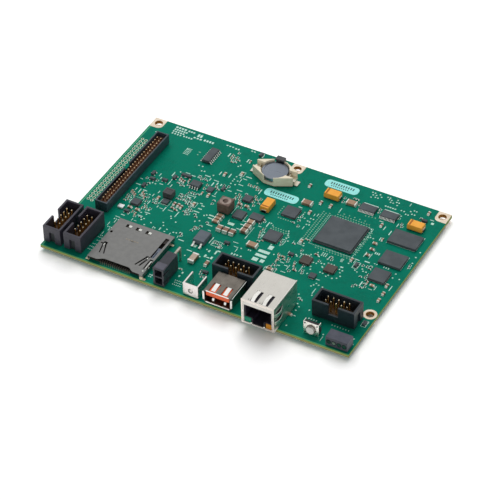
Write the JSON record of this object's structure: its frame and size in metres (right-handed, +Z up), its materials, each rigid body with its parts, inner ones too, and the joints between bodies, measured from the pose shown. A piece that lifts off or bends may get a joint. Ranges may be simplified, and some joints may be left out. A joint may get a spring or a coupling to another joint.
{
  "type": "single-board controller",
  "caption": "Bare single-board controller: a green board with shrouded pin headers, card socket, power header, USB socket, network jack, reset button, status lights and a coin cell.",
  "frame": {"origin": "under the middle of the whole part, in the plane that the soldered tails stand on", "axes": "+X right along the front edge that carries the sockets, +Y towards the back edge, +Z up out of the component side"},
  "size_m": [0.1524, 0.1046, 0.0168],
  "materials": {
    "board_laminate": "glossy teal-green solder resist over woven glass laminate",
    "header_black": "moulded, fine matte",
    "header_slate": "moulded, fine matte",
    "socket_plastic": "moulded, fine matte",
    "cover_steel": "rolled and stamped sheet, satin",
    "slider_plastic": "moulded, satin",
    "header_black_blue": "moulded, fine matte",
    "bracket_steel": "bright tin plate, slightly rolled",
    "usb_steel": "nickel plated sheet, satin",
    "usb_orange": "moulded, satin",
    "jack_steel": "nickel plated sheet, satin",
    "jack_black": "moulded, satin",
    "light_green": "clear tinted lens",
    "light_amber": "clear tinted lens",
    "switch_steel": "bright tin plate",
    "switch_black": "moulded, fine matte",
    "button_grey": "translucent grey, satin",
    "light_block": "moulded, fine matte",
    "lens_green": "clear tinted lens",
    "lens_clear": "milky clear lens",
    "holder_cream": "moulded, matte, cream",
    "cell_steel": "drawn steel can, satin",
    "contact_steel": "plated spring strip",
    "clip_dark": "moulded, satin",
    "chip_dark": "moulded epoxy, fine matte",
    "chip_brown": "moulded epoxy, fine matte",
    "tantalum_orange": "moulded epoxy, satin",
    "inductor_brown": "pressed iron powder, matte",
    "fuse_ivory": "moulded, satin",
    "pin_gold": "gold flashed square wire",
    "solder_tin": "tinned terminals and solder, semi-bright",
    "label_cyan": "blank coated label film",
    "print_white": "thin white marking ink",
    "chip_tan": "fired ceramic body, fine matte"
  },
  "bodies": {
    "controller": {"card_socket_base": "socket_plastic", "card_socket_cover": "cover_steel", "circuit_board": "board_laminate", "clock_chip": "chip_dark", "coin_cell": "cell_steel", "coin_cell_clip": "clip_dark", "coin_cell_contact_left": "contact_steel", "coin_cell_contact_right": "contact_steel", "coin_cell_holder": "holder_cream", "controller_chip_lower": "chip_dark", "controller_chip_upper": "chip_dark", "converter_chip_left": "chip_brown", "converter_chip_right": "chip_brown", "driver_chip_left": "chip_dark", "driver_chip_right": "chip_dark", "faceplate_bracket": "bracket_steel", "logic_chip": "chip_dark", "long_pin_header": "header_slate", "memory_chip_back": "chip_dark", "memory_chip_middle": "chip_dark", "network_chip": "chip_dark", "network_jack_activity_light": "light_amber", "network_jack_insert": "jack_black", "network_jack_link_light": "light_green", "network_jack_shell": "jack_steel", "power_header": "header_black_blue", "power_inductor": "inductor_brown", "processor": "chip_dark", "reset_switch_body": "switch_black", "reset_switch_frame": "switch_steel", "ribbon_header_centre": "header_black", "ribbon_header_inner_left": "header_black", "ribbon_header_outer_left": "header_black", "ribbon_header_right": "header_black", "sensor_chip": "chip_dark", "small_inductor": "chip_dark", "square_chip_back": "chip_dark", "square_chip_front": "chip_dark", "status_light_1": "lens_green", "status_light_2": "lens_clear", "status_light_3": "lens_green", "status_light_4": "lens_green", "status_light_block": "light_block", "surge_fuse": "fuse_ivory", "tantalum_capacitor_back": "tantalum_orange", "tantalum_capacitor_left": "tantalum_orange", "tantalum_capacitor_right": "tantalum_orange", "transceiver_chip": "chip_dark", "usb_insert": "usb_orange", "usb_shell": "usb_steel", "voltage_regulator": "chip_dark"},
    "reset_button": {"reset_switch_button": "button_grey"},
    "card_slide": {"card_slider": "slider_plastic"}
  },
  "joints": [
    {"name": "reset_button_press", "type": "slide", "parent": "controller", "child": "reset_button", "axis": [0, 1, 0], "range_m": [0, 0.00025], "stiffness_N_per_m": 2000, "springref_m": -0.0004},
    {"name": "card_slide_travel", "type": "slide", "parent": "controller", "child": "card_slide", "axis": [0, 1, 0], "range_m": [0, 0.0033], "stiffness_N_per_m": 300, "springref_m": -0.001}
  ]
}
